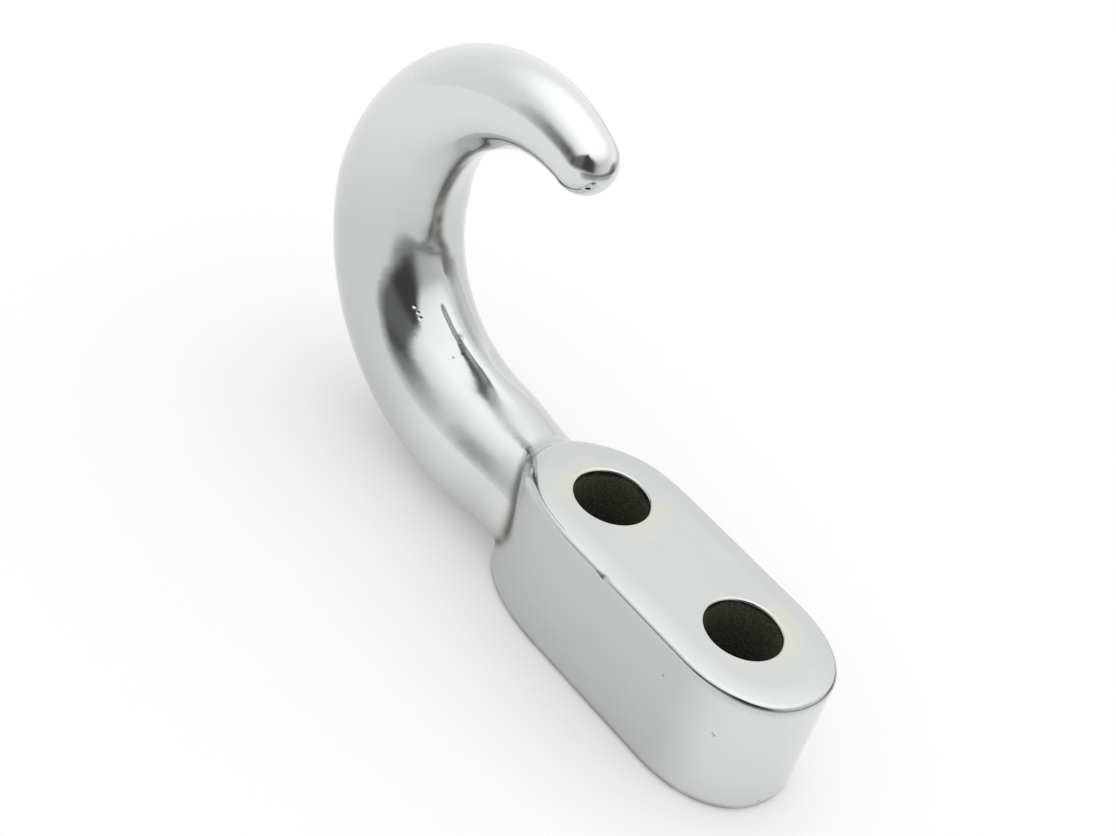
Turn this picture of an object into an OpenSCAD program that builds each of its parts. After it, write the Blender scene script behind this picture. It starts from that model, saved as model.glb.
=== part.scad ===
// Forged tow hook: a thick two-bolt pad that runs out into a round, open hook.
// It is one forging. All sizes are millimetres and all angles are degrees.
// The origin is midway between the two bolt holes, on the mounting face.
// +Z points up along the bolts, and +X runs along the pad towards the hook.

/* [Pad] */
// Distance between the centres of the two bolt holes
bolt_spacing = 35.7; // [32:0.1:45]
// Diameter of each bolt hole
bolt_hole_d = 14.3; // [10:0.1:18]
// Width and depth of the broken edge at each mouth of a bolt hole
hole_edge = 0.4; // [0.2:0.1:1]
// Thickness of the pad, from the mounting face to the bolt seats
pad_t = 26.2; // [25:0.1:32]
// Width of the pad at its widest
pad_w = 30.6; // [28:0.1:38]
// Pad beyond the centre of the outer bolt hole, at the free end
free_end = 18.5; // [16:0.1:24]
// Pad beyond the centre of the inner bolt hole, at the nose under the hook
nose_end = 18.5; // [16:0.1:24]
// Length over which the free end rounds off
free_round = 19; // [15:0.1:24]
// Length over which the nose rounds off
nose_round = 25; // [18:0.1:30]
// Fullness of the rounded ends: 2 is an ellipse, and more is squarer
end_fullness = 2.2; // [2:0.05:2.8]
// Lean of the walls, from the mounting face up to the top, for the forging die
wall_draft = 0.3; // [0:0.1:1]

/* [Pad edges] */
// Radius of the top edge
top_edge_r = 1.1; // [0.5:0.1:2.5]
// Radius of the bottom edge
bottom_edge_r = 1.2; // [0.5:0.1:2.5]
// Extra radius of the top edge at the nose, where the pad flows into the bar
nose_soften = 3.2; // [0:0.1:5]
// Length along the pad over which the top edge softens towards the nose
soften_l = 16; // [8:0.5:20]

/* [Bar] */
// Diameter of the round bar
bar_d = 25.4; // [20:0.1:26]
// Diameter of the bar where it leaves the nose
neck_d = 23.2; // [18:0.1:25]
// Straight bar between the nose and the first bend
straight_l = 15.7; // [8:0.1:30]
// Radius of the gentle first bend, to the middle of the bar
rise_r = 48; // [36:0.5:80]
// Angle of the first bend
rise_a = 16; // [8:0.5:24]
// Radius of the heel, the bend that turns the bar up
heel_r = 34.2; // [28:0.1:45]
// Angle of the heel
heel_a = 76; // [66:0.5:84]
// Radius of the crown, the bend that turns the bar back over the pad
crown_r = 32.6; // [26:0.1:42]
// Angle of the crown
crown_a = 76; // [66:0.5:84]

/* [Point] */
// Radius of the last bend, down to the point
beak_r = 28; // [20:0.1:40]
// Angle of the last bend
beak_a = 32; // [20:0.5:40]
// Diameter of the point
point_d = 12; // [9:0.1:18]
// Length of bar that tapers down to the point
taper_l = 61.5; // [40:0.5:75]
// How the taper sets in: 1 is a straight cone, and more starts gently
taper_ease = 1.15; // [1:0.05:1.6]

/* [Hidden] */

chrome = [0.80, 0.82, 0.81];

// Steps along each quarter of an end, and round each edge
end_steps = 14;
edge_steps = 4;
// Sides of the bar, the longest step along it, and steps round its point
bar_sides = 36;
bar_step = 3.6;
point_steps = 6;
hole_fn = 96;
// How far cutters stand out of the faces that they cut
over = 1;

// X of the pad's two tips, and of the middles of its two rounded ends
nose_x = bolt_spacing / 2 + nose_end;
free_x = -(bolt_spacing / 2 + free_end);
nose_mid = nose_x - nose_round;
free_mid = free_x + free_round;

// The bar is turned along runs of [radius, length], where radius 0 is straight.
// It starts at the inner bolt hole, buried in the pad, and lies on the ground
// that the pad stands on until the first bend lifts it.
bar_start = [bolt_spacing / 2, bar_d / 2, 0];
function bend(radius, angle) = [radius, radius * angle * PI / 180];
runs = [[0, nose_end + straight_l],
        bend(rise_r, rise_a), bend(heel_r, heel_a),
        bend(crown_r, crown_a), bend(beak_r, beak_a)];
function total(list, i = 0) = i == len(list) ? 0 : list[i][1] + total(list, i + 1);
bar_l = total(runs);
bar_rings = ceil(bar_l / bar_step);

// 0 at or below 0, 1 at or above 1, and level where it meets them
function ease(u) = let (v = max(0, min(1, u))) v * v * (3 - 2 * v);
function unit(v) = v / norm(v);

// Triangles between rings of n points each, first to last, each ring anticlockwise
// when seen from the last one
function bands(rings, n) =
    [for (k = [0 : rings - 2], i = [0 : n - 1])
        let (j = (i + 1) % n, a = k * n, b = a + n)
        each [[a + i, b + i, b + j], [a + i, b + j, a + j]]];

// The pad's outline at its widest, from the nose anticlockwise round to the nose
function end_point(mid, reach, a) =
    [mid + reach * sign(cos(a)) * pow(abs(cos(a)), 2 / end_fullness),
     pad_w / 2 * sign(sin(a)) * pow(abs(sin(a)), 2 / end_fullness)];
outline = [
    for (i = [0 : end_steps]) end_point(nose_mid, nose_round, 90 * i / end_steps),
    for (i = [0 : 2 * end_steps])
        end_point(free_mid, free_round, 90 + 90 * i / end_steps),
    for (i = [0 : end_steps - 1])
        end_point(nose_mid, nose_round, 270 + 90 * i / end_steps)];
sides = len(outline);

// Direction that points straight out of the outline at each of its points
outward = [for (i = [0 : sides - 1])
    let (t = unit(outline[(i + 1) % sides] - outline[(i + sides - 1) % sides]))
    [t[1], -t[0]]];
function top_r(i) =
    top_edge_r + nose_soften * ease((outline[i][0] - nose_x + soften_l) / soften_l);

// A ring of the wall at angle a of the bottom edge, and of the top edge
function bottom_ring(a) = [for (i = [0 : sides - 1])
    let (r = bottom_edge_r, p = outline[i] - outward[i] * r * (1 - sin(a)))
    [p[0], p[1], r * (1 - cos(a))]];
function top_ring(a) = [for (i = [0 : sides - 1])
    let (r = top_r(i),
         p = outline[i] - outward[i] * (wall_draft + r * (1 - cos(a))))
    [p[0], p[1], pad_t - r * (1 - sin(a))]];

module pad() {
    angles = [for (k = [0 : edge_steps]) 90 * k / edge_steps];
    rings = concat([for (a = angles) bottom_ring(a)], [for (a = angles) top_ring(a)]);
    n = len(rings);
    polyhedron(
        points = [for (ring = rings) each ring],
        faces = concat([[for (i = [0 : sides - 1]) i]],
                       bands(n, sides),
                       [[for (i = [sides - 1 : -1 : 0]) (n - 1) * sides + i]]));
}

// Where a run ends that starts at [x, z, heading] and goes on for length l
function go(from, radius, l) =
    radius == 0
    ? [from[0] + l * cos(from[2]), from[1] + l * sin(from[2]), from[2]]
    : let (to = from[2] + l / radius * 180 / PI)
      [from[0] + radius * (sin(to) - sin(from[2])),
       from[1] - radius * (cos(to) - cos(from[2])), to];
// Place and heading of the bar's middle at distance s from its start
function along(s, i = 0, from = bar_start) =
    i == len(runs) - 1 || s <= runs[i][1]
    ? go(from, runs[i][0], s)
    : along(s - runs[i][1], i + 1, go(from, runs[i][0], runs[i][1]));

// Radius of the bar at distance s from its start
function bar_r(s) =
    let (thin = ease(1 - (s - nose_end) / straight_l),
         taper = max(0, 1 - (bar_l - s) / taper_l))
    bar_d / 2 - (bar_d - neck_d) / 2 * thin
              - (bar_d - point_d) / 2 * pow(taper, taper_ease);

// Ring of radius r about the bar's middle at pose [x, z, heading]
function bar_ring(pose, r) = [for (i = [0 : bar_sides - 1])
    let (a = 360 * i / bar_sides, up = r * cos(a))
    [pose[0] - up * sin(pose[2]), -r * sin(a), pose[1] + up * cos(pose[2])]];

module hook() {
    tip = along(bar_l);
    rings = concat(
        [for (k = [0 : bar_rings]) let (s = bar_l * k / bar_rings)
            bar_ring(along(s), bar_r(s))],
        [for (k = [1 : point_steps - 1]) let (a = 90 * k / point_steps)
            bar_ring(go(tip, 0, point_d / 2 * sin(a)), point_d / 2 * cos(a))]);
    n = len(rings);
    end = go(tip, 0, point_d / 2);
    last = (n - 1) * bar_sides;
    polyhedron(
        points = concat([for (ring = rings) each ring], [[end[0], 0, end[1]]]),
        faces = concat([[for (i = [0 : bar_sides - 1]) i]],
                       bands(n, bar_sides),
                       [for (i = [0 : bar_sides - 1])
                           [last + i, n * bar_sides, last + (i + 1) % bar_sides]]));
}

module bolt_holes() {
    r = bolt_hole_d / 2;
    flare = hole_edge + over;
    for (x = [-bolt_spacing / 2, bolt_spacing / 2]) translate([x, 0, 0]) {
        translate([0, 0, -over]) cylinder(h = pad_t + 2 * over, r = r, $fn = hole_fn);
        translate([0, 0, -over])
            cylinder(h = flare, r1 = r + flare, r2 = r, $fn = hole_fn);
        translate([0, 0, pad_t - hole_edge])
            cylinder(h = flare, r1 = r, r2 = r + flare, $fn = hole_fn);
    }
}

module tow_hook() {
    color(chrome) difference() {
        union() {
            pad();
            hook();
        }
        bolt_holes();
    }
}

tow_hook();
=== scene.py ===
"""The look of the forged tow hook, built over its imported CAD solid.

One piece, the chrome-plated forging, stands for the CAD node tow_hook. It has
the node's own sizes, with finer steps. Beyond the node it has a small fillet
where the bar leaves the pad, a soft roll along the edge of the pad's top, and
the low ridge of the trimmed parting line inside the bends.

Lengths in the shape's code are millimetres, as in the part's source; they turn
into Blender's metres where a mesh is made.
"""

import math

import bpy
import numpy as np
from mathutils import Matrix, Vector

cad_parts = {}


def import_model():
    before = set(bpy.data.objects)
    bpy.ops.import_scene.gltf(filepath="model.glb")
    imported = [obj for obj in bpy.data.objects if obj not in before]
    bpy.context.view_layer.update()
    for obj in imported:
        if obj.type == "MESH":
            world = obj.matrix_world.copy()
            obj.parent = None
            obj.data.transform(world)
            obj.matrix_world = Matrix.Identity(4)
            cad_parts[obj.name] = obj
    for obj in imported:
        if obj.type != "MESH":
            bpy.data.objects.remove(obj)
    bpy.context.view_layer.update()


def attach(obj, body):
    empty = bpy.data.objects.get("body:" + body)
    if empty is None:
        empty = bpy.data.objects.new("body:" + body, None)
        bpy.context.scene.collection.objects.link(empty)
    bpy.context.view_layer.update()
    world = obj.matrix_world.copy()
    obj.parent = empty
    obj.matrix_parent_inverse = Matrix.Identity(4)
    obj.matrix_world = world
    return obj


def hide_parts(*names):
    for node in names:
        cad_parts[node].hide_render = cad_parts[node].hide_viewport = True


MM = 0.001
TINY = 1e-9

# ---------------------------------------------------------------- sizes, in mm
# The pad, with sizes and names as in the part's source
BOLT_SPACING = 35.7
HOLE_R = 7.15
PAD_T = 26.2
PAD_W = 30.6
# Pad beyond the centre of each bolt hole
PAD_END = 18.5
NOSE_X = BOLT_SPACING / 2 + PAD_END
FREE_X = -NOSE_X
NOSE_ROUND = 25.0
FREE_ROUND = 19.0
FULLNESS = 2.2
WALL_DRAFT = 0.3
TOP_EDGE_R = 1.1
BOTTOM_EDGE_R = 1.2
NOSE_SOFTEN = 3.2
SOFTEN_L = 16.0

# The bar, which starts at the inner bolt hole, buried in the pad
BAR_D = 25.4
NECK_D = 23.2
STRAIGHT_L = 15.7
POINT_D = 12.0
TAPER_L = 61.5
TAPER_EASE = 1.15
BAR_START = (BOLT_SPACING / 2, BAR_D / 2)
# Distance along the bar, from its start, at which it leaves the pad's nose
NOSE_S = NOSE_X - BAR_START[0]
# Radius and angle of each bend of the bar, from the pad to the point
BENDS = [(48.0, 16.0), (34.2, 76.0), (32.6, 76.0), (28.0, 32.0)]
# Radius and length of each run of the bar's middle
RUNS = [(math.inf, NOSE_S + STRAIGHT_L)]
RUNS += [(radius, radius * math.radians(angle)) for radius, angle in BENDS]
BAR_L = sum(length for _radius, length in RUNS)
# A forging has no step in its bend, so the bends run into each other over this
BLEND_L = 5.0
# The smooth bar is drawn in by this much, to lie within the CAD solid's box
DRAWN_IN = 0.9985

# Finishing that the polished forging has beyond the CAD solid: the fillet of bar
# and pad, and how much it grows between which heights
FILLET_R = 1.3
FILLET_MORE = 2.2
FILLET_GROWS = (21.5, 24.5)
# The roll along the edge of the pad's top, and the rounded mouths of the holes
ROLL_L = 4.0
ROLL_DEPTH = 0.24
MOUTH_R = 0.55

# Trimmed parting line of the dies: a low ridge along the inside of the bends.
# Its flanks are flat up to RIDGE_A either side of it, and its crest is rounded.
RIDGE_A = math.radians(28.5)
RIDGE_ROUND = math.radians(7)
# How much flatter it is ground, round which place along the bar, and over what
# length. It stands a little prouder where the share is below 0.
RIDGE_GROUND = [(0.36, 73.0, 11.0), (-0.14, 104.0, 14.0)]
# Its crest leaves the middle of the bar: how far, at places along the bar
RIDGE_Y = [(79.0, 0.0), (88.0, 2.0), (97.0, 2.6), (112.0, 2.4)]
# It wavers by this angle, and over this length along the bar
RIDGE_WAVE_A, RIDGE_WAVE_L = 0.012, 5.1
# It rises between these distances from the bar's start, and also from the point
RIDGE_FROM = (22.0, 40.0)
RIDGE_TO = (8.0, 26.0)

# A nick in the pad's top edge: its place, width and depth
NICK_AT, NICK_W, NICK_DEPTH = (2.9, 15.0, 25.7), 1.1, 0.2
# How much a distance from it counts along each axis: it is longer along the edge
NICK_COUNTS = (0.6, 1, 1)
# How far it goes down for each mm that it goes in
NICK_DOWN = 0.6
# How ragged it is, and how fast that turns along the edge
NICK_RAGGED, NICK_TURNS = 0.5, 5

# Points in these ranges of X can lie on the fillet, or in the painted shade beside
# it. The pad's outline is needed there from NOSE_FROM on.
JOIN_X = (26.0, 44.0)
CREASE_X = (24.0, 48.0)
NOSE_FROM = 20.0
# Points of the flat top lie within this of its height
LEVEL = 0.0005

# ------------------------------------------------------------ painted shade and dark line, sizes in mm
# Mesh attribute of how much painted darkness each point has: painted shade in the
# crease and on the bottom edge, and a painted dark line along the ridge
PAINTED_DARK = "painted_dark_mask"
# Painted shade in the crease of bar and pad: how wide, and between which heights
# it thins out
CREASE_W = 0.8
CREASE_FADES = (21.0, 25.5)
# A painted dark line along the ridge: how wide, and how far off the bar's middle
# at places along it
SEAM_W = 1.3
SEAM_Y = [
    (74.0, -2.0), (79.0, -0.8), (84.0, 1.2), (90.0, 1.9), (97.0, 2.4), (110.0, 2.4),
]
# It is light at first, over these distances from the bar's start and the point,
# and then heavy from SEAM_FROM to SEAM_TO along the bar
SEAM_LIGHT, SEAM_LIGHT_FROM, SEAM_LIGHT_TO = 0.3, (40.0, 52.0), (26.0, 46.0)
SEAM_HEAVY, SEAM_FROM, SEAM_TO = 0.95, (66.0, 82.0), (112.0, 128.0)
# Painted shade on the rounded bottom edge, for the contact shadow that it mirrors:
# how heavy, and between which heights it fades out
FOOT_HEAVY = 0.75
FOOT_FADES = (0.5, 1.8)

# ------------------------------------------------ marks on the plating, in mm
# Each is listed as a place and how wide the mark is there.
# Three small dents in the bend, which catch the light
PITS = [((72.0, 6.5, 30.8), 0.5), ((70.9, 6.2, 30.0), 0.4), ((70.0, 6.1, 29.3), 0.5)]
# Dark specks, of which the last six make up a short scratch
SPECKS = [
    ((-16.0, 15.15, 19.6), 0.45), ((-28.4, 12.8, 16.1), 0.4),
    ((-28.0, 12.9, 16.4), 0.35), ((-36.2, 2.6, 2.0), 0.5),
    ((75.6, 6.9, 60.5), 0.4), ((-13.0, -4.6, 26.2), 0.3),
    ((63.7, 1.0, 28.5), 1.1), ((62.9, 1.3, 28.1), 0.9), ((62.1, 1.6, 27.7), 0.9),
    ((61.3, 1.7, 27.4), 1.0), ((60.5, 2.2, 26.9), 0.9), ((61.0, 4.0, 26.1), 0.5),
]
# Where the plating is hazy, and where light is painted on as brighter plating
HAZY = [((79.5, 7.0, 46.0), 16.0), ((77.0, 2.0, 62.0), 12.0)]
PAINTED_LIGHT_SPOTS = [((49.0, 11.0, 13.0), 26.0), ((33.0, 11.4, 13.0), 11.0)]
# Where the wheel couldn't reach to polish: beside the join of bar and pad
SATIN = [((43.0, 1.0, 24.5), 10.0)]
# In each pair below, something sets in from the first place to the second.
# Light is painted on as brighter plating on the wall of the free end, along X and
# down the wall, and up the bend
PAINTED_LIGHT_END = (-18.0, -30.0)
PAINTED_LIGHT_WALL = (PAD_T - 1.0, PAD_T - 3.0)
PAINTED_LIGHT_BEND = (35.0, 72.0)
# A faint stain lies round each hole, by distance from its axis
STAIN_RING = (13.0, 8.0)
# The bores are bare, by distance from their axes, and by depth below a ragged
# edge of plating at each mouth
BARE_WITHIN = (7.5, 7.3)
BARE_BELOW = (0.5, 1.6)
BARE_RAGGED = 2.0

# Blender's scale of each kind of unevenness: the larger, the finer
WAVES, HAZE, RIPPLE, GRAIN, SPECKLE = 55.0, 90.0, 260.0, 2200.0, 2600.0
# How deep each kind is, in mm
WAVES_DEPTH, RIPPLE_DEPTH, GRAIN_DEPTH = 0.25, 0.03, 0.002
PITS_DEPTH, SPECKLE_DEPTH = -0.08, 0.12
# How far the haze swings the polish, and how much of the surface each mark covers
HAZE_SWING = 0.5
STAIN_COVER, SPECK_COVER, PAINTED_DARK_COVER = 0.5, 0.75, (0.6, 0.95)
# Roughness of the plating, and how much each mark adds to it
PLATE_ROUGH = (0.07, 0.12)
PAINTED_DARK_ROUGH, HAZY_ROUGH, SATIN_ROUGH = 0.3, 0.13, 0.3
OXIDE_ROUGH = 0.85

# ---------------------------------------------------------------------- colours
# The plating's two tones; the brighter one also carries painted light
PLATE_DULL = (0.56, 0.58, 0.57, 1)
PLATE_BRIGHT = (0.685, 0.705, 0.69, 1)
STAIN_COLOUR = (0.62, 0.61, 0.50, 1)
# Colour of the painted shade and of the painted dark line along the ridge
PAINTED_DARK_COLOUR = (0.13, 0.13, 0.115, 1)
SPECK_COLOUR = (0.16, 0.15, 0.12, 1)
OXIDE_DARK = (0.026, 0.026, 0.018, 1)
OXIDE_LIGHT = (0.085, 0.083, 0.054, 1)
PAPER = (0.82, 0.82, 0.815, 1)
CLOTH = (0.035, 0.03675, 0.035, 1)
WHITE = (1, 1, 1, 1)

# ----------------------------------------------------------------------- studio
# Camera, fitted to the photograph
CAMERA_AT = (-147.935, 233.616, 253.854)
CAMERA_TURN = (51.3882, -15.5921, -129.7317)
LENS = 65.73
SENSOR = 36.0

FLOOR_REACH = 1500
# Share of plain white in the floor, where the camera or the chrome looks at it
FLOOR_WHITE = 0.25
# The curtains stand on circles round this place on the X axis
CURTAIN_MID = 33.0
# How bright the room is overhead, where 1 is white, and at steps on the way up,
# from the horizon at 0 to overhead at 1
BRIGHTEST = 1.6
ROOM_LEVELS = [
    (0, 1.06), (0.26, 1.04), (0.42, 1.04), (0.588, 1.07), (0.707, 1.2),
    (0.82, 1.37), (0.91, 1.48), (0.97, 1.57), (1, BRIGHTEST),
]
# It is a little brighter on the side that the soft shadows fall away from
BRIGHT_SIDE = (-0.34, -0.94, 0.0)
BRIGHT_SIDE_MORE = 0.15


def ease(u):
    """0 at or below 0, 1 at or above 1, and level where it meets them."""
    v = np.clip(u, 0, 1)
    return v * v * (3 - 2 * v)


def rise(value, low, high):
    """0 up to low, 1 from high on, and eased in between."""
    return ease((value - low) / (high - low))


def mesh_object(name, verts, faces):
    """An object of a mesh that is given in mm."""
    mesh = bpy.data.meshes.new(name)
    mesh.from_pydata([tuple(v) for v in np.asarray(verts) * MM], [], faces)
    mesh.validate()
    mesh.polygons.foreach_set("use_smooth", [True] * len(mesh.polygons))
    obj = bpy.data.objects.new(name, mesh)
    bpy.context.scene.collection.objects.link(obj)
    return obj


def bands(rings, n):
    """Quads between rings of n points each."""
    k = np.arange(rings - 1)[:, None] * n
    i = np.arange(n)[None, :]
    j = (i + 1) % n
    quads = np.stack([k + i, k + i + n, k + j + n, k + j], -1)
    return quads.reshape(-1, 4).tolist()


def capped_tube(rings, n):
    """Faces of a tube of rings of n points each, closed flat at both ends."""
    faces = [quad[::-1] for quad in bands(rings, n)]
    faces.append(list(range(n))[::-1])
    faces.append(list(range((rings - 1) * n, rings * n)))
    return faces


# ------------------------------------------------------------------------- bar
def running_sum(rate, step):
    """How far a rate that is given at even steps has carried at each of them."""
    return np.concatenate([[0], np.cumsum((rate[1:] + rate[:-1]) / 2 * step)])


def bar_path(step=0.05):
    """Points every step along the bar's middle: distance, x, z and heading."""
    s = np.linspace(0, BAR_L, int(BAR_L / step) + 1)
    bend = np.zeros_like(s)
    start = 0
    for radius, run in RUNS:
        bend[(s >= start - TINY) & (s <= start + run + TINY)] = 1 / radius
        start += run
    width = int(BLEND_L / step) | 1
    bend = np.pad(bend, width // 2, "edge")
    bend = np.convolve(bend, np.ones(width) / width, "valid")
    step = s[1] - s[0]
    heading = running_sum(bend, step)
    x = BAR_START[0] + running_sum(np.cos(heading), step) * DRAWN_IN
    z = BAR_START[1] + running_sum(np.sin(heading), step) * DRAWN_IN
    return s, x, z, heading


def bar_radius(s):
    """Radius of the bar at distance s from its start."""
    thin = ease(1 - (s - NOSE_S) / STRAIGHT_L)
    taper = np.clip(1 - (BAR_L - s) / TAPER_L, 0, 1)
    return (
        BAR_D / 2
        - (BAR_D - NECK_D) / 2 * thin
        - (BAR_D - POINT_D) / 2 * taper**TAPER_EASE
    )


def ridge(s, a):
    """How many times farther out the ridge takes the bar's skin, at places s along
    it and angles a round it, from the inside of the bends."""
    reach = rise(s, *RIDGE_FROM) * rise(BAR_L - s, *RIDGE_TO)
    crest = RIDGE_WAVE_A * np.sin(s / RIDGE_WAVE_L)
    crest = crest - np.interp(s, *zip(*RIDGE_Y)) / bar_radius(s)
    off = np.angle(np.exp(1j * (a - crest)))
    flank = RIDGE_A
    for share, place, length in RIDGE_GROUND:
        flank = flank * (1 - share * np.exp(-(((s - place) / length) ** 2)))
    lean = np.maximum(flank - np.hypot(off, RIDGE_ROUND), 0)
    return 1 + reach * (1 / np.cos(lean) - 1)


def bar_mesh(sides=168, start=6.0, fine=0.45, fine_to=24.0, step=0.85, dome=16):
    """The bar with its ridge and its round point. Its rings stand closer together
    up to fine_to, inside the pad and where it leaves it."""
    path_s, path_x, path_z, path_heading = bar_path()
    s = np.concatenate(
        [
            np.arange(start, fine_to, fine),
            np.linspace(fine_to, BAR_L, int((BAR_L - fine_to) / step) + 1),
        ]
    )
    x = np.interp(s, path_s, path_x)
    z = np.interp(s, path_s, path_z)
    heading = np.interp(s, path_s, path_heading)
    r = bar_radius(s)

    # The point is a half ball on the last ring
    tip, last = POINT_D / 2, heading[-1]
    end = x[-1] + tip * math.cos(last), 0, z[-1] + tip * math.sin(last)
    a = np.linspace(0, math.pi / 2, dome + 1)[1:-1]
    x = np.append(x, x[-1] + tip * np.sin(a) * math.cos(last))
    z = np.append(z, z[-1] + tip * np.sin(a) * math.sin(last))
    r = np.append(r, tip * np.cos(a))
    heading = np.append(heading, np.full(len(a), last))
    s = np.append(s, np.full(len(a), BAR_L))

    # The sides crowd together where the ridge is
    crowding = 0.6
    turn = np.arange(sides) * 2 * math.pi / sides
    turn = turn - crowding * np.sin(turn)
    r = r[:, None] * ridge(s[:, None], turn[None, :])
    up = r * np.cos(turn)
    verts = np.stack(
        [
            x[:, None] - up * np.sin(heading)[:, None],
            -r * np.sin(turn),
            z[:, None] + up * np.cos(heading)[:, None],
        ],
        -1,
    ).reshape(-1, 3)
    rings = len(x)
    faces = bands(rings, sides)
    faces.append(list(range(sides)))
    ring, tip_point = (rings - 1) * sides, rings * sides
    faces += [[ring + i, tip_point, ring + (i + 1) % sides] for i in range(sides)]
    return np.vstack([verts, end]), faces


# ------------------------------------------------------------------------- pad
def pad_outline(points, fine=2001):
    """The pad's outline at its widest, anticlockwise, and its outward normals. It
    is spaced evenly from a finer one, with fine points to a quarter or a side."""
    nose_mid, free_mid = NOSE_X - NOSE_ROUND, FREE_X + FREE_ROUND

    def end(mid, reach, a):
        c, s = np.cos(a), np.sin(a)
        return np.c_[
            mid + reach * np.sign(c) * np.abs(c) ** (2 / FULLNESS),
            PAD_W / 2 * np.sign(s) * np.abs(s) ** (2 / FULLNESS),
        ]

    def side(t, sign):
        return np.c_[nose_mid + (free_mid - nose_mid) * t, 0 * t + sign * PAD_W / 2]

    quarter = np.linspace(0, math.pi / 2, fine)
    t = np.linspace(0, 1, fine)[1:-1]
    dense = np.vstack(
        [
            end(nose_mid, NOSE_ROUND, quarter),
            side(t, 1),
            end(free_mid, FREE_ROUND, math.pi / 2 + 2 * quarter),
            side(1 - t, -1),
            end(nose_mid, NOSE_ROUND, 1.5 * math.pi + quarter)[:-1],
        ]
    )
    closed = np.vstack([dense, dense[:1]])
    along = np.concatenate([[0], np.cumsum(np.hypot(*np.diff(closed, axis=0).T))])
    at = np.arange(points) * along[-1] / points
    p = np.c_[np.interp(at, along, closed[:, 0]), np.interp(at, along, closed[:, 1])]
    tangent = np.roll(p, -1, 0) - np.roll(p, 1, 0)
    tangent /= np.linalg.norm(tangent, axis=1)[:, None]
    return p, np.c_[tangent[:, 1], -tangent[:, 0]]


def top_edge_radius(x):
    """Radius of the pad's top edge, which softens towards the nose."""
    return TOP_EDGE_R + NOSE_SOFTEN * ease((x - NOSE_X + SOFTEN_L) / SOFTEN_L)


def pad_mesh(points=380, edge_steps=9, wall_steps=44, roll_steps=9):
    """The pad, as layers of its outline. Each is an inset and a height."""
    outline, outward = pad_outline(points)
    low = np.full(points, BOTTOM_EDGE_R)
    top = top_edge_radius(outline[:, 0])
    layers = []
    for a in np.radians(np.linspace(0, 90, edge_steps + 1)):
        layers.append((low * (1 - math.sin(a)), low * (1 - math.cos(a))))
    for t in np.linspace(0, 1, wall_steps + 1)[1:-1]:
        layers.append((WALL_DRAFT * t + 0 * low, low + (PAD_T - top - low) * t))
    # The top edge ends at the slope at which the roll of the top face starts
    lean = math.atan(2 * ROLL_DEPTH / ROLL_L)
    for a in np.linspace(0, math.pi / 2 - lean, edge_steps + 1):
        inset = WALL_DRAFT + top * (1 - math.cos(a))
        height = PAD_T - ROLL_DEPTH - top * (math.cos(lean) - math.sin(a))
        layers.append((inset, height))
    for t in np.linspace(0, 1, roll_steps + 1)[1:]:
        height = PAD_T - ROLL_DEPTH * (1 - t) ** 2 + 0 * low
        layers.append((inset + ROLL_L * t, height))
    verts = [
        np.c_[outline - outward * inset[:, None], height] for inset, height in layers
    ]
    return np.vstack(verts), capped_tube(len(layers), points)


def hole_cutter(x, sides=144, steps=6, over=2.0):
    """A turned cutter for a bolt hole, which rounds both of its mouths."""
    a = np.linspace(0, math.pi / 2, steps + 1)
    r = HOLE_R + MOUTH_R * (1 - np.cos(a))
    z = PAD_T - MOUTH_R * (1 - np.sin(a))
    radius = np.concatenate([[r[-1]], r[::-1], r, [r[-1]]])
    height = np.concatenate([[-over], (PAD_T - z)[::-1], z, [PAD_T + over]])
    t = np.arange(sides) * 2 * math.pi / sides
    verts = np.stack(
        [
            x + radius[:, None] * np.cos(t),
            radius[:, None] * np.sin(t),
            height[:, None] + 0 * t,
        ],
        -1,
    ).reshape(-1, 3)
    return verts, capped_tube(len(radius), sides)


# --------------------------------------------------------------------- forging
def boolean(obj, other, operation):
    """Applies an exact boolean to obj and removes other."""
    m = obj.modifiers.new("cut", "BOOLEAN")
    m.operation, m.solver, m.object = operation, "EXACT", other
    made = bpy.data.meshes.new_from_object(
        obj.evaluated_get(bpy.context.evaluated_depsgraph_get())
    )
    obj.modifiers.remove(m)
    obj.data = made
    bpy.data.objects.remove(other)


def bar_field(p):
    """Signed distance to the bar, which is straight near the join, and the way out
    of it."""
    s = p[:, 0] - BAR_START[0]
    y, z = p[:, 1], p[:, 2] - BAR_START[1]
    out = np.hypot(y, z)
    away = out - bar_radius(s) * ridge(s, np.arctan2(-y, z))
    return away, np.c_[0 * out, y / out, z / out]


def pad_field(p, nose):
    """Signed distance to the pad, and the way out of it. nose is the pad's outline
    and normals there."""
    outline, outward = nose
    near = np.argmin(
        (p[:, 0, None] - outline[:, 0]) ** 2 + (p[:, 1, None] - outline[:, 1]) ** 2,
        axis=1,
    )
    side_way = outward[near]
    side = np.einsum("ij,ij->i", p[:, :2] - outline[near], side_way)
    low, top = BOTTOM_EDGE_R, top_edge_radius(outline[near, 0])
    side = side + WALL_DRAFT * np.clip((p[:, 2] - low) / (PAD_T - top - low), 0, 1)
    upper = p[:, 2] > PAD_T / 2
    edge_r = np.where(upper, top, low)

    # Out past the middle of the rounded edge, sideways and then up or down
    u = side + edge_r
    v = np.where(upper, p[:, 2] - (PAD_T - ROLL_DEPTH - edge_r), edge_r - p[:, 2])
    past_u, past_v = np.maximum(u, 0), np.maximum(v, 0)
    span = np.hypot(past_u, past_v)
    away = np.minimum(np.maximum(u, v), 0) + span - edge_r
    safe = np.maximum(span, TINY)
    sideways = np.where(span > 0, past_u / safe, (u >= v) * 1.0)
    upward = np.where(span > 0, past_v / safe, (u < v) * 1.0) * np.where(upper, 1, -1)
    return away, np.c_[side_way * sideways[:, None], upward]


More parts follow.
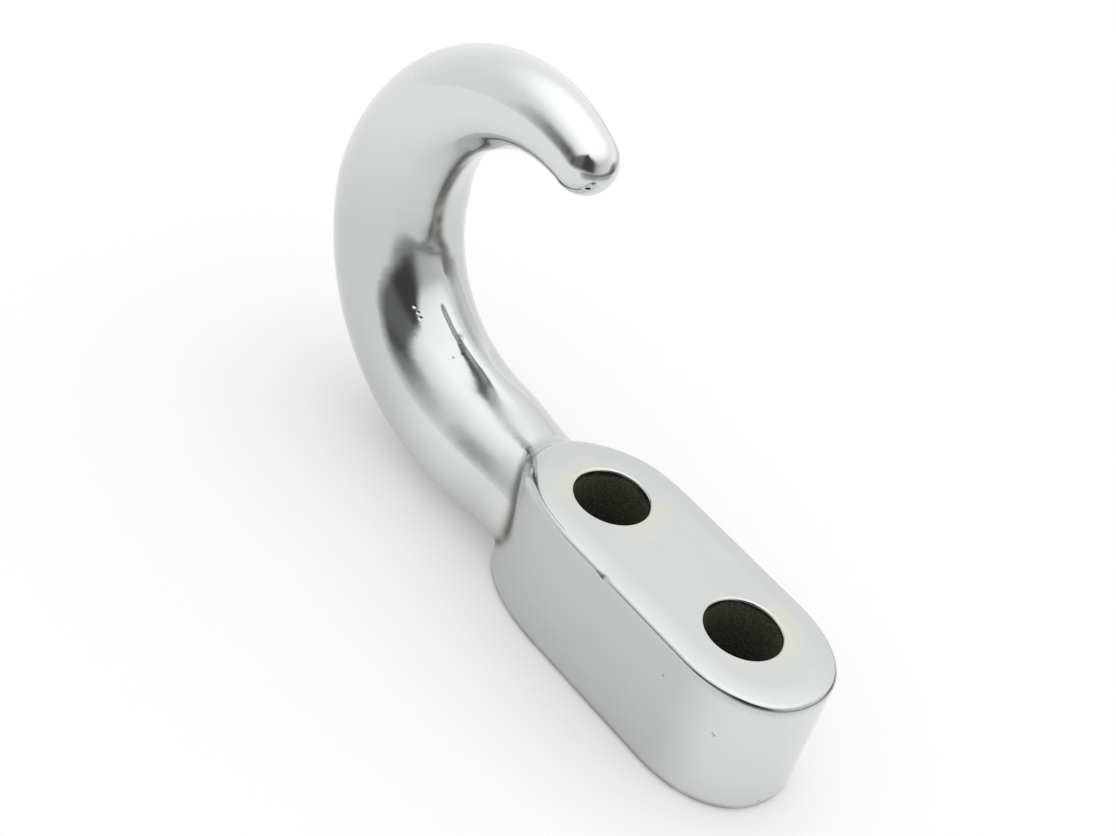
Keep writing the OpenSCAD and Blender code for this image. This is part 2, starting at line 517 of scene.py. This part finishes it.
def field(p, nose):
    """Signed distance to the bar and the pad joined by a round fillet, the way out
    of it, and whether the fillet is there, at points near the join."""
    bar, bar_way = bar_field(p)
    pad, pad_way = pad_field(p, nose)
    # Where the two run nearly side by side, the fillet fades out
    r = FILLET_R + FILLET_MORE * rise(p[:, 2], *FILLET_GROWS)
    r = r * ease(1 - np.einsum("ij,ij->i", bar_way, pad_way))
    a, b = np.maximum(r - bar, 0), np.maximum(r - pad, 0)
    filleted = (a > 0) & (b > 0)
    span = np.hypot(a, b)
    away = np.where(filleted, r - span, np.minimum(bar, pad))
    joined = a[:, None] * bar_way + b[:, None] * pad_way
    joined = joined / np.maximum(span, TINY)[:, None]
    way = np.where((bar < pad)[:, None], bar_way, pad_way)
    return away, np.where(filleted[:, None], joined, way), filleted


def slope(p, nose, h=0.03):
    """The surface's own normals, from how the field changes over h either way."""
    rises = [
        field(p + axis, nose)[0] - field(p - axis, nose)[0] for axis in np.eye(3) * h
    ]
    way = np.stack(rises, -1)
    return way / np.linalg.norm(way, axis=1)[:, None]


def fillet(co, nose, steps=5, least=0.25):
    """Moves the points near the join out onto the fillet. Gives which points these
    are, and their normals. A step divides by the way's squared length, or least."""
    close = np.flatnonzero((co[:, 0] > JOIN_X[0]) & (co[:, 0] < JOIN_X[1]))
    close = close[field(co[close], nose)[2]]
    p = co[close]
    for _ in range(steps):
        away, way, _filleted = field(p, nose)
        size = np.einsum("ij,ij->i", way, way)
        p = p - way * (away / np.maximum(size, least))[:, None]
    normals = slope(p, nose)
    p[:, 2] = np.maximum(p[:, 2], 0)
    co[close] = p
    return close, normals


def nick(co):
    """Dents the pad's top edge in one place, as the photo shows."""
    away = np.linalg.norm((co - NICK_AT) * NICK_COUNTS, axis=1) / NICK_W
    ragged = 1 + NICK_RAGGED * np.sin(NICK_TURNS * co[:, 0])
    dent = NICK_DEPTH * ease(1 - away) * ragged
    co[:, 1] -= dent
    co[:, 2] -= NICK_DOWN * dent


def crease(co, nose):
    """How much painted shade lies at each point of the crease of bar and pad."""
    amount = np.zeros(len(co))
    near = np.flatnonzero((co[:, 0] > CREASE_X[0]) & (co[:, 0] < CREASE_X[1]))
    p = co[near]
    away = np.maximum(bar_field(p)[0], pad_field(p, nose)[0])
    amount[near] = np.exp(-((np.maximum(away, 0) / CREASE_W) ** 2))
    return amount * (1 - rise(co[:, 2], *CREASE_FADES))


def seam(co, thin=12, reach=4):
    """How dark the line painted along the ridge inside the bends is at each point.
    Every thin-th point of the path is used, and points within reach widths of it."""
    amount = np.zeros(len(co))
    near = np.flatnonzero((co[:, 0] > NOSE_X) & (np.abs(co[:, 1]) < reach * SEAM_W))
    s, x, z, heading = (v[::thin] for v in bar_path())
    p = co[near]
    at = np.argmin((p[:, 0, None] - x) ** 2 + (p[:, 2, None] - z) ** 2, axis=1)
    s, x, z, heading = s[at], p[:, 0] - x[at], p[:, 2] - z[at], heading[at]
    inside = z * np.cos(heading) - x * np.sin(heading) > 0
    light = rise(s, *SEAM_LIGHT_FROM) * rise(BAR_L - s, *SEAM_LIGHT_TO)
    heavy = rise(s, *SEAM_FROM) * (1 - rise(s, *SEAM_TO))
    much = light * (SEAM_LIGHT + (SEAM_HEAVY - SEAM_LIGHT) * heavy)
    off = p[:, 1] - np.interp(s, *zip(*SEAM_Y))
    amount[near] = inside * much * np.exp(-((off / SEAM_W) ** 2))
    return amount


def foot(co):
    """How much painted shade lies at each point of the rounded bottom edge, where it
    mirrors the contact shadow.
    """
    return FOOT_HEAVY * (1 - rise(co[:, 2], *FOOT_FADES))


def forging(outline_points=3000):
    """The whole forging: pad and bar joined, bored and filleted."""
    obj = mesh_object("chrome_forging", *pad_mesh())
    boolean(obj, mesh_object("bar", *bar_mesh()), "UNION")
    for x in (-BOLT_SPACING / 2, BOLT_SPACING / 2):
        boolean(obj, mesh_object("cutter", *hole_cutter(x)), "DIFFERENCE")
    mesh = obj.data
    co = np.zeros(len(mesh.vertices) * 3)
    mesh.vertices.foreach_get("co", co)
    co = co.reshape(-1, 3) / MM

    outline, outward = pad_outline(outline_points)
    front = outline[:, 0] > NOSE_FROM
    nose = outline[front], outward[front]
    filleted, fillet_normals = fillet(co, nose)
    nick(co)
    mesh.vertices.foreach_set("co", (co * MM).ravel())
    # Painted darkness at each point: shade in the crease and on the bottom edge, and
    # the line along the ridge
    painted_dark = np.maximum.reduce([crease(co, nose), seam(co), foot(co)])
    mesh.attributes.new(PAINTED_DARK, "FLOAT", "POINT").data.foreach_set("value", painted_dark)

    # A normal of 0 leaves the point its own
    normals = np.zeros_like(co)
    normals[filleted] = fillet_normals
    flat = (np.abs(co[:, 2] - PAD_T) < LEVEL) & (co[:, 0] < NOSE_X)
    normals[flat] = (0, 0, 1)
    mesh.polygons.foreach_set("use_smooth", [True] * len(mesh.polygons))
    mesh.update()
    mesh.normals_split_custom_set_from_vertices(normals.tolist())
    return obj


# ------------------------------------------------------------------- materials
class Nodes:
    """Builds a node tree with short calls. A plain value is set on the socket. A
    socket is named by its name, with _ for a space, or by i and its number."""

    def __init__(self, tree):
        self.tree = tree

    def add(self, kind, settings=None, out=0, **inputs):
        return self.node(kind, settings, **inputs).outputs[out]

    def node(self, kind, settings=None, **inputs):
        node = self.tree.nodes.new(kind)
        for key, value in (settings or {}).items():
            setattr(node, key, value)
        for key, value in inputs.items():
            numbered = key[0] == "i" and key[1:].isdigit()
            socket = node.inputs[int(key[1:]) if numbered else key.replace("_", " ")]
            if isinstance(value, bpy.types.NodeSocket):
                self.tree.links.new(value, socket)
            else:
                socket.default_value = value
        return node

    def math(self, operation, a, b=0.0, clamp=False):
        settings = {"operation": operation, "use_clamp": clamp}
        return self.add("ShaderNodeMath", settings, i0=a, i1=b)

    def plus(self, a, b, clamp=False):
        return self.math("ADD", a, b, clamp)

    def minus(self, a, b):
        return self.math("SUBTRACT", a, b)

    def times(self, a, b, clamp=False):
        return self.math("MULTIPLY", a, b, clamp)

    def larger(self, a, b):
        return self.math("MAXIMUM", a, b)

    def swing(self, noise, amount):
        """How far a noise is off its middle, times amount."""
        return self.times(self.minus(noise, 0.5), amount)

    def vector(self, operation, a, b=(0, 0, 0), out=0):
        settings = {"operation": operation}
        return self.add("ShaderNodeVectorMath", settings, out, i0=a, i1=b)

    def remap(self, value, from_low, from_high, to_low=0.0, to_high=1.0):
        return self.add(
            "ShaderNodeMapRange",
            {"interpolation_type": "SMOOTHSTEP"},
            i0=value, i1=from_low, i2=from_high, i3=to_low, i4=to_high,
        )

    def mix(self, share, a, b):
        settings = {"data_type": "RGBA"}
        return self.add("ShaderNodeMix", settings, 2, i0=share, i6=a, i7=b)

    def noise(self, place, scale, detail=2.0, roughness=0.5):
        return self.add(
            "ShaderNodeTexNoise",
            Vector=place, Scale=scale, Detail=detail, Roughness=roughness,
        )

    def bump(self, height, distance, **normal):
        return self.add("ShaderNodeBump", Height=height, Distance=distance, **normal)

    def ramp(self, value, stops):
        """A smooth grey ramp of value, from (place, level) pairs."""
        node = self.node("ShaderNodeValToRGB", i0=value)
        elements = node.color_ramp.elements
        node.color_ramp.interpolation = "CARDINAL"
        while len(elements) < len(stops):
            elements.new(0.5)
        for element, (at, level) in zip(elements, stops):
            element.position = at
            element.color = (level, level, level, 1)
        return node.outputs[0]

    def output(self, kind, shader):
        self.node(kind, Surface=shader)


def new_material(name):
    mat = bpy.data.materials.new(name)
    mat.use_nodes = True
    mat.node_tree.nodes.clear()
    return mat, Nodes(mat.node_tree)


def hole_distance(n, place):
    """Distance from the nearer bolt hole's axis, x and z, in mm."""
    scaled = n.vector("MULTIPLY", place, (1 / MM,) * 3)
    x, y, z = n.node("ShaderNodeSeparateXYZ", i0=scaled).outputs
    beside = n.minus(n.math("ABSOLUTE", x), BOLT_SPACING / 2)
    flat = n.add("ShaderNodeCombineXYZ", X=beside, Y=y)
    return n.vector("LENGTH", flat, out=1), x, z


def spot_mask(n, place, spots):
    """1 in the middle of each spot, fading to 0 at its rim."""
    total = None
    for spot, width in spots:
        away = n.vector("DISTANCE", place, tuple(v * MM for v in spot), out=1)
        one = n.remap(away, 0.0, width * MM, 1.0, 0.0)
        total = one if total is None else n.larger(total, one)
    return total


def chrome_shader(n, place, out, x, z, ripple):
    """Polished chrome over a forging: soft waves, a fine skin, haze, painted light,
    painted shade and a painted dark line.
    """
    waves = n.noise(place, WAVES, detail=1.0)
    haze = n.noise(place, HAZE, detail=4.0)
    grain = n.noise(place, GRAIN)
    specks = spot_mask(n, place, SPECKS)
    # Painted shade in the crease and on the bottom edge, and the painted dark line
    # along the ridge, broken up by the ripple
    painted_dark = n.add("ShaderNodeAttribute", {"attribute_name": PAINTED_DARK}, out=2)
    painted_dark = n.times(painted_dark, n.remap(ripple, 0.2, 0.6, *PAINTED_DARK_COVER))

    normal = n.bump(waves, WAVES_DEPTH * MM)
    normal = n.bump(ripple, RIPPLE_DEPTH * MM, Normal=normal)
    normal = n.bump(grain, GRAIN_DEPTH * MM, Normal=normal)
    normal = n.bump(spot_mask(n, place, PITS), PITS_DEPTH * MM, Normal=normal)

    # Painted light: brighter plating on the free end's wall, up the bend and in spots,
    # which the haze swings at random
    haze_and_painted_light = n.times(n.remap(x, *PAINTED_LIGHT_END), n.remap(z, *PAINTED_LIGHT_WALL))
    haze_and_painted_light = n.larger(haze_and_painted_light, n.remap(z, *PAINTED_LIGHT_BEND))
    haze_and_painted_light = n.larger(haze_and_painted_light, spot_mask(n, place, PAINTED_LIGHT_SPOTS))
    haze_and_painted_light = n.plus(haze_and_painted_light, n.swing(haze, HAZE_SWING), clamp=True)
    stain = n.times(n.remap(out, *STAIN_RING), n.remap(haze, 0.42, 0.6))
    colour = n.mix(haze_and_painted_light, PLATE_DULL, PLATE_BRIGHT)
    colour = n.mix(n.times(stain, STAIN_COVER), colour, STAIN_COLOUR)
    colour = n.mix(painted_dark, colour, PAINTED_DARK_COLOUR)
    colour = n.mix(n.times(specks, SPECK_COVER), colour, SPECK_COLOUR)

    rough = n.remap(haze, 0.3, 0.75, *PLATE_ROUGH)
    rough = n.plus(rough, n.times(painted_dark, PAINTED_DARK_ROUGH))
    rough = n.plus(rough, n.times(spot_mask(n, place, HAZY), HAZY_ROUGH))
    rough = n.plus(rough, n.times(spot_mask(n, place, SATIN), SATIN_ROUGH))
    return n.add(
        "ShaderNodeBsdfPrincipled",
        Base_Color=colour, Metallic=1.0, Roughness=rough, Normal=normal,
    )


def oxide_shader(n, place):
    """The bare, dull steel inside the bores."""
    speckle = n.noise(place, SPECKLE, detail=3.0, roughness=0.7)
    colour = n.mix(n.remap(speckle, 0.35, 0.7), OXIDE_DARK, OXIDE_LIGHT)
    normal = n.bump(speckle, SPECKLE_DEPTH * MM)
    return n.add(
        "ShaderNodeBsdfPrincipled",
        Base_Color=colour, Metallic=0.0, Roughness=OXIDE_ROUGH, Normal=normal,
    )


def chrome_material():
    """Chrome plate on the outside, and oxide where the bores are bare."""
    mat, n = new_material("chrome_plate")
    place = n.add("ShaderNodeTexCoord", out=3)
    out, x, z = hole_distance(n, place)
    ripple = n.noise(place, RIPPLE)
    depth = n.minus(PAD_T / 2, n.math("ABSOLUTE", n.minus(z, PAD_T / 2)))
    depth = n.plus(depth, n.swing(ripple, BARE_RAGGED))
    bare = n.times(n.remap(out, *BARE_WITHIN), n.remap(depth, *BARE_BELOW))
    chrome = chrome_shader(n, place, out, x, z, ripple)
    both = n.add("ShaderNodeMixShader", Fac=bare, i1=chrome, i2=oxide_shader(n, place))
    n.output("ShaderNodeOutputMaterial", both)
    return mat


# ---------------------------------------------------------------------- studio
def floor():
    """A pale floor, which keeps the object's shadow."""
    r = FLOOR_REACH
    verts = [(-r, -r, 0), (r, -r, 0), (r, r, 0), (-r, r, 0)]
    obj = mesh_object("floor", verts, [[0, 1, 2, 3]])
    mat, n = new_material("floor")
    paper = n.add("ShaderNodeBsdfDiffuse", Color=PAPER)
    path = n.node("ShaderNodeLightPath").outputs
    seen = n.larger(path["Is Camera Ray"], path["Is Glossy Ray"])
    seen = n.larger(seen, path["Is Transmission Ray"])
    white = n.add("ShaderNodeEmission", Color=WHITE, Strength=1.0)
    share = n.times(seen, FLOOR_WHITE)
    both = n.add("ShaderNodeMixShader", Fac=share, i1=paper, i2=white)
    n.output("ShaderNodeOutputMaterial", both)
    obj.data.materials.append(mat)


def cloth_mesh(name, bottom, top, first, last, steps=48):
    """A strip round the object, from one ring to another, each a radius and a
    height, and between two azimuths. Its UV runs from 0 to 1 along and up it."""
    turns = np.radians(np.linspace(first, last, steps + 1))
    way = np.c_[np.cos(turns), np.sin(turns), 0 * turns]
    middle = np.array([CURTAIN_MID, 0, 0])
    verts = np.vstack([middle + way * r + [0, 0, z] for r, z in (bottom, top)])
    faces = [[i, i + 1, steps + 2 + i, steps + 1 + i] for i in range(steps)]
    obj = mesh_object(name, verts, faces)
    layer = obj.data.uv_layers.new(name="cloth")
    for i in range(steps):
        corners = ((i, 0), (i + 1, 0), (i + 1, 1), (i, 1))
        for corner, (u, v) in enumerate(corners):
            layer.data[4 * i + corner].uv = (u / steps, v)
    return obj


def curtain(name, bottom, top, cloth, lower_soft, upper_soft):
    """A dark cloth round the object, seen by glossy surfaces alone. cloth lists
    azimuth, density, and how far up the cloth its lower and upper hems are. The
    hems are soft over these lengths to either side."""
    azimuth, density, lower, upper = zip(*cloth)
    first, last = azimuth[0], azimuth[-1]
    obj = cloth_mesh(name, bottom, top, first, last)
    mat, n = new_material(name)
    uv = n.add("ShaderNodeTexCoord", out=2)
    u, v, _w = n.node("ShaderNodeSeparateXYZ", i0=uv).outputs
    height = math.dist(bottom, top)

    def along(values, unit=1.0):
        places = [(a - first) / (last - first) for a in azimuth]
        return n.ramp(u, [(at, value / unit) for at, value in zip(places, values)])

    up = n.minus(v, along(lower, height))
    down = n.minus(along(upper, height), v)
    cover = n.times(
        n.remap(up, -lower_soft / height, lower_soft / height),
        n.remap(down, -upper_soft / height, upper_soft / height),
    )
    cover = n.times(cover, along(density), clamp=True)
    dark = n.add("ShaderNodeEmission", Color=CLOTH, Strength=1.0)
    clear = n.add("ShaderNodeBsdfTransparent")
    both = n.add("ShaderNodeMixShader", Fac=cover, i1=clear, i2=dark)
    n.output("ShaderNodeOutputMaterial", both)
    obj.data.materials.append(mat)
    obj.visible_camera = False
    obj.visible_diffuse = False
    obj.visible_shadow = False


def curtains():
    """The dark parts of the room that the chrome mirrors."""
    curtain(
        "tall_curtain", (600, 0), (600, 1050),
        [
            (53, 0, 73, 370), (60, 0.2, 73, 396), (66, 0.36, 73, 420),
            (71, 0.58, 73, 430), (78, 0.72, 61, 425), (85, 0.9, 56, 430),
            (94, 0.85, 40, 516), (108, 0.84, 42, 672), (117, 0.86, 47, 768),
            (125, 0.95, 50, 840), (134, 0.97, 40, 852), (144, 0.97, 20, 708),
            (156, 0.96, 10, 588), (165, 0.86, 0, 504), (170, 0.64, -20, 468),
            (178, 0.48, -20, 444), (189, 0.36, -20, 444), (202, 0.3, -20, 444),
            (222, 0.2, -20, 444), (247, 0, -20, 444),
        ],
        lower_soft=100, upper_soft=150,
    )
    curtain(
        "low_curtain", (250, 0), (250, 160),
        [
            (118, 0, 0, 40), (135, 0.3, 0, 42), (165, 0.35, 0, 44),
            (180, 0.45, 0, 45), (215, 0.5, 0, 50), (228, 0.65, 0, 95),
            (237, 0.8, 0, 110), (250, 0.6, 0, 95), (262, 0.32, 25, 95),
            (275, 0.26, 35, 105), (292, 0.22, 35, 105), (310, 0, 35, 100),
        ],
        lower_soft=14, upper_soft=24,
    )
    # The one named mat is a dark sheet lying just above the floor on the camera's
    # side, seen only in the chrome, which darkens the floor mirrored there
    curtain(
        "mat", (90, 1), (600, 1),
        [
            (118, 0, 50, 500), (130, 0.4, 45, 500), (145, 0.6, 40, 500),
            (165, 0.65, 40, 500), (185, 0.55, 40, 500), (230, 0.5, 45, 500),
            (250, 0, 50, 500),
        ],
        lower_soft=45, upper_soft=10,
    )


def camera():
    data = bpy.data.cameras.new("camera")
    data.lens, data.sensor_width, data.sensor_fit = LENS, SENSOR, "HORIZONTAL"
    data.clip_start, data.clip_end = 0.01, 20
    obj = bpy.data.objects.new("camera", data)
    obj.location = Vector(CAMERA_AT) * MM
    obj.rotation_euler = [math.radians(a) for a in CAMERA_TURN]
    bpy.context.scene.collection.objects.link(obj)
    bpy.context.scene.camera = obj


def world():
    """A pale room, brighter overhead."""
    w = bpy.data.worlds.new("studio")
    bpy.context.scene.world = w
    w.use_nodes = True
    w.node_tree.nodes.clear()
    n = Nodes(w.node_tree)
    way = n.add("ShaderNodeTexCoord")
    _x, _y, up = n.node("ShaderNodeSeparateXYZ", i0=way).outputs
    # A smooth ramp holds no value above 1, so it holds shares of the brightest
    level = n.ramp(up, [(at, value / BRIGHTEST) for at, value in ROOM_LEVELS])
    side = n.vector("DOT_PRODUCT", way, BRIGHT_SIDE, out=1)
    level = n.times(level, n.plus(n.times(side, BRIGHT_SIDE_MORE), 1.0))
    back = n.add("ShaderNodeBackground", Color=level, Strength=BRIGHTEST)
    n.output("ShaderNodeOutputWorld", back)


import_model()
scene = bpy.context.scene
scene.view_settings.view_transform = "Standard"

hook = forging()
hook.data.materials.clear()
hook.data.materials.append(chrome_material())
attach(hook, "root")
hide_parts("tow_hook")

floor()
curtains()
world()
camera()
